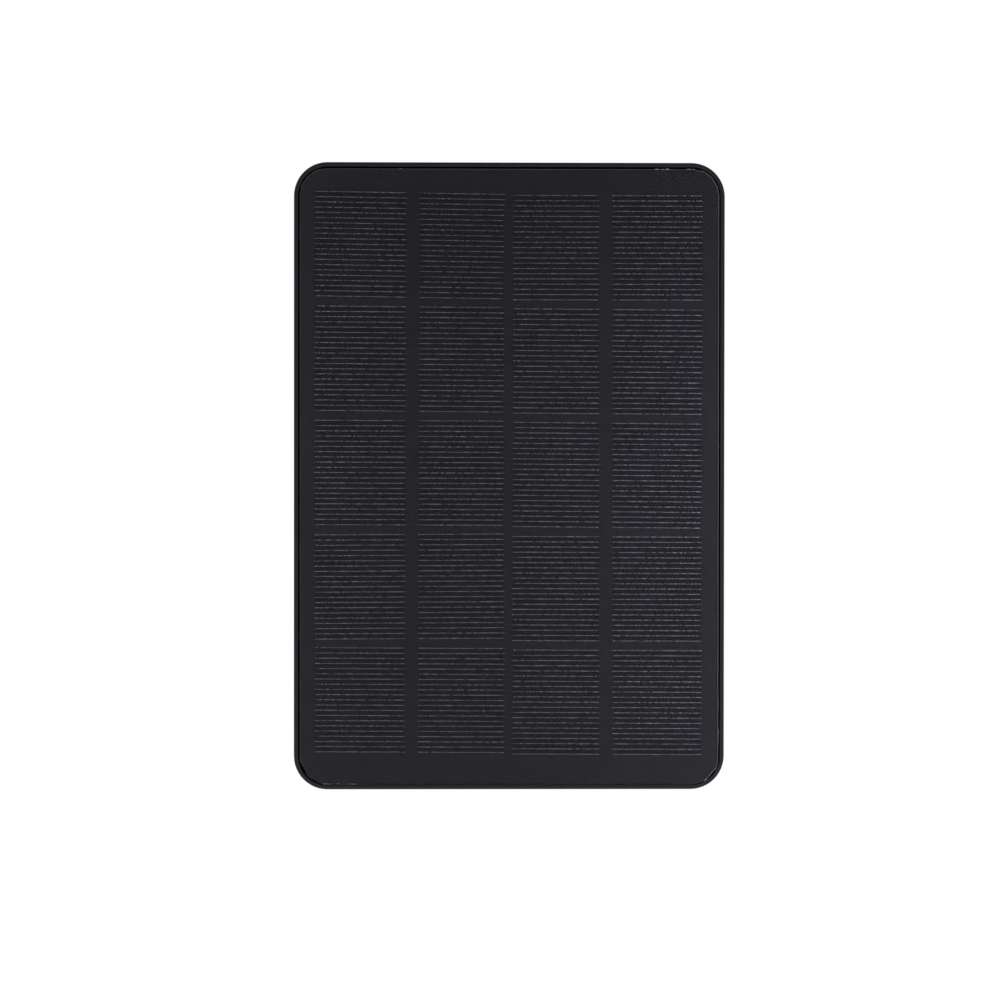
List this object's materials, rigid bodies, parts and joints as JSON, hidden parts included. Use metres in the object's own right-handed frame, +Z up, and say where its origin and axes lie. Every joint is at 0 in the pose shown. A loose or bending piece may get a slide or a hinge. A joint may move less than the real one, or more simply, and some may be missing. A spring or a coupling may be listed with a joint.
{
  "type": "solar panel",
  "caption": "Small upright solar panel in a black plastic frame, with a rear bracket socket and a charging port closed by a tethered cover.",
  "frame": {"origin": "centre of the mouth of the threaded bracket socket, on the rear boss's face", "axes": "+Z up along the long side, +X to the right seen from the front, +Y out of the rear; the cells face -Y"},
  "size_m": [0.12, 0.018, 0.1748],
  "materials": {
    "housing_black": "fine textured black ABS",
    "film_clear": "clear polymer film with a fine pebbled matte face",
    "encapsulant_clear": "clear EVA",
    "cell_silicon": "dark blue-black monocrystalline silicon with an anti-reflection coat",
    "grid_silver": "fired silver paste",
    "ribbon_tin": "tinned copper ribbon",
    "mask_black": "black strip",
    "board_black": "black solder-masked glass-epoxy board",
    "solder": "solder",
    "tape_foam": "black acrylic foam tape",
    "sealant_black": "black silicone sealant",
    "brass_insert": "machined brass",
    "silicone_black": "matte black silicone",
    "screw_steel": "blackened stainless steel",
    "board_green": "green solder mask on glass-epoxy",
    "chip_black": "black epoxy",
    "capacitor_tan": "ceramic chip capacitor",
    "ferrite": "dark grey ferrite",
    "copper_wire": "enamelled copper wire",
    "shell_steel": "stainless steel",
    "lead_red": "red silicone insulation",
    "lead_black": "black silicone insulation"
  },
  "bodies": {
    "panel": {"base_board": "board_black", "blocking_diode": "chip_black", "board_screws": "screw_steel", "bracket_insert": "brass_insert", "cell_grid_left_1": "grid_silver", "cell_grid_left_2": "grid_silver", "cell_grid_left_3": "grid_silver", "cell_grid_left_4": "grid_silver", "cell_grid_left_5": "grid_silver", "cell_grid_right_1": "grid_silver", "cell_grid_right_2": "grid_silver", "cell_grid_right_3": "grid_silver", "cell_grid_right_4": "grid_silver", "cell_grid_right_5": "grid_silver", "cell_left_1": "cell_silicon", "cell_left_2": "cell_silicon", "cell_left_3": "cell_silicon", "cell_left_4": "cell_silicon", "cell_left_5": "cell_silicon", "cell_right_1": "cell_silicon", "cell_right_2": "cell_silicon", "cell_right_3": "cell_silicon", "cell_right_4": "cell_silicon", "cell_right_5": "cell_silicon", "cover_anchor": "silicone_black", "edge_sealant": "sealant_black", "filter_capacitors": "capacitor_tan", "front_encapsulant": "encapsulant_clear", "front_film": "film_clear", "inductor_coil": "copper_wire", "inductor_core": "ferrite", "lid_gasket": "silicone_black", "lid_screws": "screw_steel", "mounting_tape": "tape_foam", "negative_lead": "lead_black", "output_ribbons": "ribbon_tin", "pod_lid": "housing_black", "port_seal": "silicone_black", "positive_lead": "lead_red", "rear_encapsulant": "encapsulant_clear", "rear_housing": "housing_black", "receptacle_shell": "shell_steel", "receptacle_tongue": "chip_black", "regulator_board": "board_green", "regulator_chip": "chip_black", "ribbon_mask_left": "mask_black", "ribbon_mask_right": "mask_black", "ribbons_left": "ribbon_tin", "ribbons_right": "ribbon_tin", "solder_pads": "solder", "string_link": "ribbon_tin"},
    "port_cover": {"port_cover": "silicone_black"}
  },
  "joints": [
    {"name": "port_cover_hinge", "type": "hinge", "parent": "panel", "child": "port_cover", "pos_m": [-0.0084, -0.0054, -0.0756], "axis": [0, 1, 0], "range_deg": [0, 90]}
  ]
}
